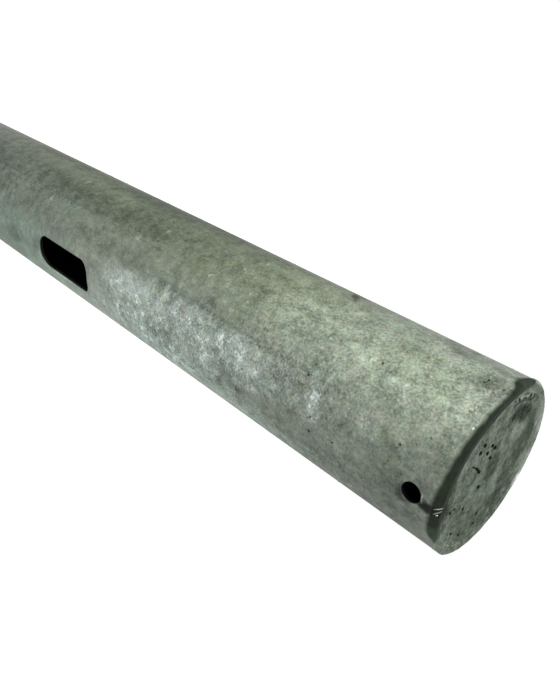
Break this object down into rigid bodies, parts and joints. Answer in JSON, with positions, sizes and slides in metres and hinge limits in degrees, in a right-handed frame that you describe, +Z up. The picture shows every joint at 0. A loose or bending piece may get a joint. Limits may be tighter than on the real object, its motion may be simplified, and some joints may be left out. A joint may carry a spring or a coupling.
{
  "type": "latch post",
  "caption": "Round galvanised steel gate post with a capped top, a long slot for a gate's bolt and a vent hole near the top.",
  "frame": {"origin": "centre of the open base end, on the post's axis", "axes": "+Z up the post's axis, towards the cap; the slot looks along -Y"},
  "size_m": [0.1154, 0.1153, 2.1005],
  "materials": {
    "galvanised_steel": "dull weathered hot-dip zinc, mottled and speckled grey with a green cast",
    "galvanised_plate": "dull hot-dip zinc with flow marks, dross grains and small pits",
    "weld_zinc": "dark dull zinc over a ground weld"
  },
  "bodies": {
    "root": {"post_tube": "galvanised_steel", "top_cap": "galvanised_plate", "cap_weld": "weld_zinc"}
  },
  "joints": []
}
